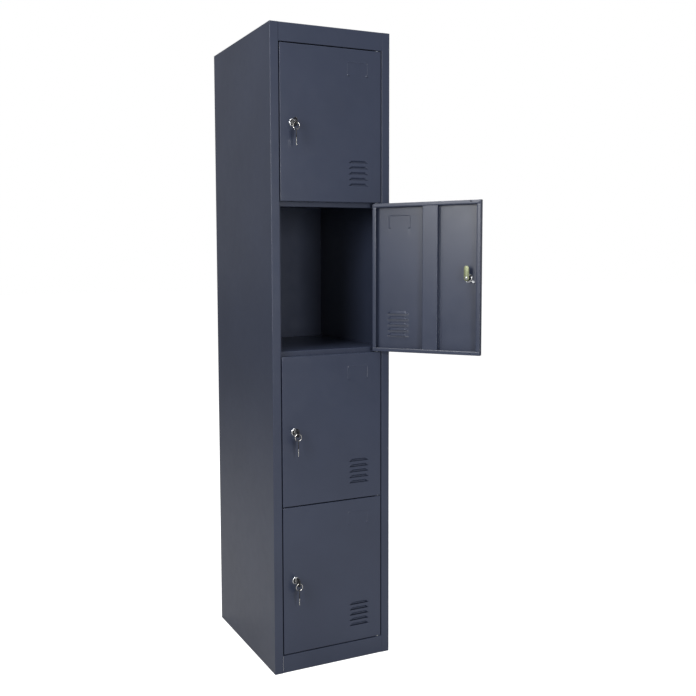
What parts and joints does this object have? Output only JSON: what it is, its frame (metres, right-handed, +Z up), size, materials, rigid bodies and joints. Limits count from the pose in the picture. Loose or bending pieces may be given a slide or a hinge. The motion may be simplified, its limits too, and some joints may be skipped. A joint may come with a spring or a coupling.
{
  "type": "locker cabinet",
  "caption": "Tall narrow steel locker with stacked hinged doors, pressed louvres, card frames, cam locks with keys, and a shelf under each compartment.",
  "frame": {"origin": "on the floor, at the centre of the carcass's footprint", "axes": "+X to the right seen from the front, +Y to the back, +Z up"},
  "size_m": [0.5439, 0.7008, 1.85],
  "materials": {
    "paint": "satin powder coat, dark graphite blue",
    "lock_chrome": "bright chrome plate",
    "cam_plate": "olive-yellow zinc passivate",
    "hinge_steel": "bright zinc plate",
    "key_grip": "black moulded plastic",
    "key_steel": "nickel plate",
    "washer_nylon": "natural nylon"
  },
  "bodies": {
    "carcass": {"left_side": "paint", "right_side": "paint", "back_panel": "paint", "top_panel": "paint", "base_panel": "paint", "shelf_1": "paint", "shelf_2": "paint", "shelf_3": "paint", "hinge_plates": "paint", "hinge_pins": "hinge_steel", "pivot_washers": "washer_nylon"},
    "door_1": {"door_1_panel": "paint", "door_1_stiffener": "paint", "door_1_lock_housing": "lock_chrome", "door_1_lock_washer": "hinge_steel", "door_1_lock_nut": "lock_chrome"},
    "lock_1": {"door_1_lock_plug": "lock_chrome", "door_1_cam": "cam_plate", "door_1_cam_screw": "hinge_steel", "door_1_key": "key_grip", "door_1_key_ring": "key_steel"},
    "spare_key_1": {"door_1_spare_key": "key_grip"},
    "door_2": {"door_2_panel": "paint", "door_2_stiffener": "paint", "door_2_lock_housing": "lock_chrome", "door_2_lock_washer": "hinge_steel", "door_2_lock_nut": "lock_chrome"},
    "lock_2": {"door_2_lock_plug": "lock_chrome", "door_2_cam": "cam_plate", "door_2_cam_screw": "hinge_steel", "door_2_key": "key_grip", "door_2_key_ring": "key_steel"},
    "spare_key_2": {"door_2_spare_key": "key_grip"},
    "door_3": {"door_3_panel": "paint", "door_3_stiffener": "paint", "door_3_lock_housing": "lock_chrome", "door_3_lock_washer": "hinge_steel", "door_3_lock_nut": "lock_chrome"},
    "lock_3": {"door_3_lock_plug": "lock_chrome", "door_3_cam": "cam_plate", "door_3_cam_screw": "hinge_steel", "door_3_key": "key_grip", "door_3_key_ring": "key_steel"},
    "spare_key_3": {"door_3_spare_key": "key_grip"},
    "door_4": {"door_4_panel": "paint", "door_4_stiffener": "paint", "door_4_lock_housing": "lock_chrome", "door_4_lock_washer": "hinge_steel", "door_4_lock_nut": "lock_chrome"},
    "lock_4": {"door_4_lock_plug": "lock_chrome", "door_4_cam": "cam_plate", "door_4_cam_screw": "hinge_steel", "door_4_key": "key_grip", "door_4_key_ring": "key_steel"},
    "spare_key_4": {"door_4_spare_key": "key_grip"}
  },
  "joints": [
    {"name": "door_1_hinge", "type": "hinge", "parent": "carcass", "child": "door_1", "pos_m": [0.1515, -0.219, 1.579], "axis": [0, 0, 1], "range_deg": [0, 127]},
    {"name": "door_1_lock", "type": "hinge", "parent": "door_1", "child": "lock_1", "pos_m": [-0.123, -0.225, 1.579], "axis": [0, -1, 0], "range_deg": [0, 90]},
    {"name": "door_1_spare_key_swing", "type": "hinge", "parent": "lock_1", "child": "spare_key_1", "pos_m": [-0.123, -0.2505, 1.5671], "axis": [0, -1, 0], "range_deg": [-90, 0]},
    {"name": "door_2_hinge", "type": "hinge", "parent": "carcass", "child": "door_2", "pos_m": [0.1515, -0.219, 1.143], "axis": [0, 0, 1], "range_deg": [-127, 0]},
    {"name": "door_2_lock", "type": "hinge", "parent": "door_2", "child": "lock_2", "pos_m": [0.32149, -0.43461, 1.143], "axis": [0.7986, 0.6018, 0], "range_deg": [0, 90]},
    {"name": "door_2_spare_key_swing", "type": "hinge", "parent": "lock_2", "child": "spare_key_2", "pos_m": [0.34186, -0.41927, 1.1311], "axis": [0.7986, 0.6018, 0], "range_deg": [-90, 0]},
    {"name": "door_3_hinge", "type": "hinge", "parent": "carcass", "child": "door_3", "pos_m": [0.1515, -0.219, 0.707], "axis": [0, 0, 1], "range_deg": [0, 127]},
    {"name": "door_3_lock", "type": "hinge", "parent": "door_3", "child": "lock_3", "pos_m": [-0.123, -0.225, 0.707], "axis": [0, -1, 0], "range_deg": [0, 90]},
    {"name": "door_3_spare_key_swing", "type": "hinge", "parent": "lock_3", "child": "spare_key_3", "pos_m": [-0.123, -0.2505, 0.6951], "axis": [0, -1, 0], "range_deg": [-90, 0]},
    {"name": "door_4_hinge", "type": "hinge", "parent": "carcass", "child": "door_4", "pos_m": [0.1515, -0.219, 0.271], "axis": [0, 0, 1], "range_deg": [0, 127]},
    {"name": "door_4_lock", "type": "hinge", "parent": "door_4", "child": "lock_4", "pos_m": [-0.123, -0.225, 0.271], "axis": [0, -1, 0], "range_deg": [0, 90]},
    {"name": "door_4_spare_key_swing", "type": "hinge", "parent": "lock_4", "child": "spare_key_4", "pos_m": [-0.123, -0.2505, 0.2591], "axis": [0, -1, 0], "range_deg": [-90, 0]}
  ],
  "couplings": [
    {"joint": "door_1_spare_key_swing", "follows": "door_1_lock", "ratio": -1},
    {"joint": "door_2_spare_key_swing", "follows": "door_2_lock", "ratio": -1},
    {"joint": "door_3_spare_key_swing", "follows": "door_3_lock", "ratio": -1},
    {"joint": "door_4_spare_key_swing", "follows": "door_4_lock", "ratio": -1}
  ]
}
